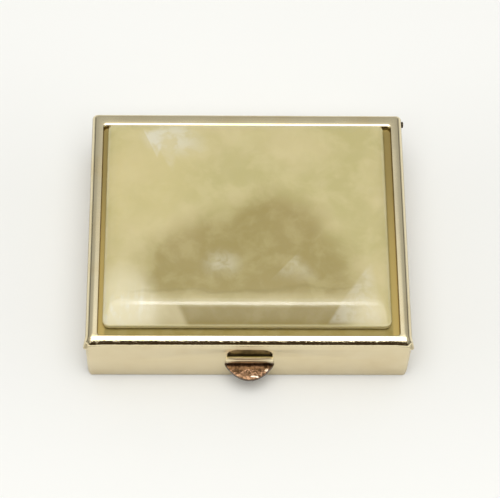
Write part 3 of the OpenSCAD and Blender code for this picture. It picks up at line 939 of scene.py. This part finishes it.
def makePin(material):
    # a drawn pin with one peened, slightly domed end
    s = hingePin
    low, high = nodeBox("hinge_pin")
    y, z = lidShell["axisY"], lidShell["axisZ"]
    shoulder = nodeBox("lid_shell")[1][0] + s["lap"]
    piece = addRod("hingePin", ((low[0] + shoulder) / 2, y, z), s["radius"], shoulder - low[0])
    edit(piece)
    pick("FACE", lambda f: f.normal.x > 0.9)
    bpy.ops.mesh.extrude_region_move()
    grow = s["headRadius"] / s["radius"]
    bpy.ops.transform.resize(value=(1, grow, grow), center_override=(shoulder, y, z))
    bpy.ops.mesh.extrude_region_move()
    bpy.ops.transform.translate(value=(high[0] - shoulder, 0, 0))
    bevelEdges(s["headRound"], 4)
    tidyMesh()
    leaveEdit()
    soften(piece, 0.04, 2, 50)
    smooth(piece, 40)
    finishPiece(piece, "base", ["hinge_pin"], [material])


stage("materials")
plateGold = makePlatedGold("goldPlatedBrass", goldPlate["colour"], goldPlate["warmer"],
                           goldPlate["roughness"], rippled=True)
baseGold = makePlatedGold("goldPlatedBrassBase", goldPlate["baseColour"], goldPlate["warmer"],
                          goldPlate["baseRoughness"], tarnished=True)
shadedRecessGold = makeShadedRecessGold()
gilt = makeSatinGilt()
steel = makeDrawnSteel()
bronze = makeSpringBronze()
copper = makeWornCopper()
cement = makeCement()
onyx = makeOnyx()

stage("lid")
makeLidShell([plateGold, shadedRecessGold])
makeStone(onyx)
makeThumbTab(copper, plateGold)

stage("base")
makeBaseTray(baseGold)
makePin(steel)
for node in ("base_liner", "compartment_divider", "lid_liner"):
    dress(node, gilt)
for node in ("base_hinge_leaf", "lid_hinge_leaf"):
    dress(node, baseGold)
for node in ("catch_foot", "catch_leaf", "catch_nib"):
    dress(node, bronze)
dress("catch_rivets", steel)
dress("stone_cement", cement)

studio = {
    "floorSize": 1.6,                 # metres
    "boxDistance": 620, "boxTilt": 15, "boxWide": 640, "boxDeep": 520, "boxRadiance": 1.7,
    "tubeWide": 126, "tubeDeep": 50, "tubeRadiance": 7, "tubePlace": (12, 0, 590),
    "fillSize": 500, "fillRadiance": 0.7, "fillPlace": (0, -250, 800),
}

stage("floor, light and camera")
deselectAll()
bpy.ops.mesh.primitive_plane_add(size=studio["floorSize"], location=(0, 0, 0))
floor = bpy.context.object
floor.name = "floor"
floor.data.materials.append(makeFloor())


def makeSky():
    # soft room: bright ceiling, a darker band half way up the side walls, dim behind the viewer
    world = bpy.data.worlds.new("softRoom")
    bpy.context.scene.world = world
    world.use_nodes = True
    tree = world.node_tree
    tree.nodes.clear()
    place = add(tree, "TexCoord", out="Generated")
    apart = add(tree, "SeparateXYZ", [place]).node
    height = apart.outputs["Z"]
    shades = add(tree, "ValToRGB", [height]).node
    stops = [(0, 0.7), (0.15, 0.6), (0.5, 0.44), (0.848, 0.5), (0.866, 0.58), (0.883, 0.74), (0.903, 1.1),
             (0.95, 1.5), (1, 1.8)]
    elements = shades.color_ramp.elements
    while len(elements) < len(stops):
        elements.new(0.5)
    for element, (spot, shade) in zip(elements, stops):
        element.position = spot
        element.color = (shade / 2, shade / 2, shade / 2, 1)
    level = add(tree, "Math", [shades.outputs["Color"], 2], **times)
    # dark band on the left and right walls
    aside = add(tree, "MapRange",
                [add(tree, "Math", [apart.outputs["X"]], operation="ABSOLUTE"), 0.55, 0.75], **softly)
    near = add(tree, "MapRange",
               [add(tree, "Math", [add(tree, "Math", [height, 0.33], operation="SUBTRACT")],
                    operation="ABSOLUTE"), 0.05, 0.17, 0.75, 0], **softly)
    band = add(tree, "Math", [aside, near], **times)
    level = add(tree, "Math", [level, add(tree, "Math", [1.0, band], operation="SUBTRACT")], **times)
    viewer = add(tree, "MapRange", [apart.outputs["Y"], -0.66, -0.56, 1, 0], **softly)
    level = add(tree, "Math", [level, add(tree, "MapRange", [viewer, 0, 1, 1, 0.1])], **times)
    tint = add(tree, "Mix", {0: viewer, 6: [1, 1, 0.985, 1], 7: [1, 0.66, 0.36, 1]}, **inColour)
    paint = add(tree, "Background", {"Strength": level, "Color": tint})
    add(tree, "OutputWorld", {"Surface": paint})


def addLamp(name, wide, deep, radiance, place, aim, seenInGloss=True):
    # a soft rectangular lamp; sizes and places in mm, radiance of its face
    lamp = bpy.data.lights.new(name, "AREA")
    lamp.shape = "RECTANGLE"
    lamp.size, lamp.size_y = wide * mm, deep * mm
    lamp.energy = radiance * math.pi * lamp.size * lamp.size_y
    box = bpy.data.objects.new(name, lamp)
    bpy.context.collection.objects.link(box)
    box.location = Vector(place) * mm
    box.rotation_euler = (Vector(place) - Vector(aim)).to_track_quat("Z", "Y").to_euler()
    box.visible_glossy = seenInGloss


def makeLamps():
    s = studio
    tilt = math.radians(s["boxTilt"])
    away = s["boxDistance"]
    addLamp("softbox", s["boxWide"], s["boxDeep"], s["boxRadiance"],
            (0, -math.sin(tilt) * away, math.cos(tilt) * away), (0, 0, 0))
    addLamp("tube", s["tubeWide"], s["tubeDeep"], s["tubeRadiance"], s["tubePlace"], (12, 0, 0))
    addLamp("fill", s["fillSize"], s["fillSize"], s["fillRadiance"], s["fillPlace"], (0, 0, 0), False)


camera = {
    "elevation": 62.247, "azimuth": -2.793, "roll": 2.647,   # degrees
    "distance": 320.48, "target": (0.559, 1.927, 0),         # mm
    "lens": 141.957, "sensor": 36,
}


def makeCamera():
    c = camera
    data = bpy.data.cameras.new("camera")
    data.lens = c["lens"]
    data.sensor_width = c["sensor"]
    data.clip_start, data.clip_end = 0.01, 10
    eye = bpy.data.objects.new("camera", data)
    bpy.context.collection.objects.link(eye)
    up, around = math.radians(c["elevation"]), math.radians(c["azimuth"])
    back = Vector((math.sin(around) * math.cos(up), -math.cos(around) * math.cos(up), math.sin(up)))
    target = Vector(c["target"]) * mm
    eye.location = target + back * c["distance"] * mm
    turn = (-back).to_track_quat("-Z", "Y")
    spin = math.radians(-c["roll"])
    eye.rotation_mode = "QUATERNION"
    eye.rotation_quaternion = turn @ Quaternion((0, 0, 1), -spin)
    bpy.context.scene.camera = eye


makeSky()
makeLamps()
makeCamera()
bpy.context.scene.view_settings.view_transform = "Standard"
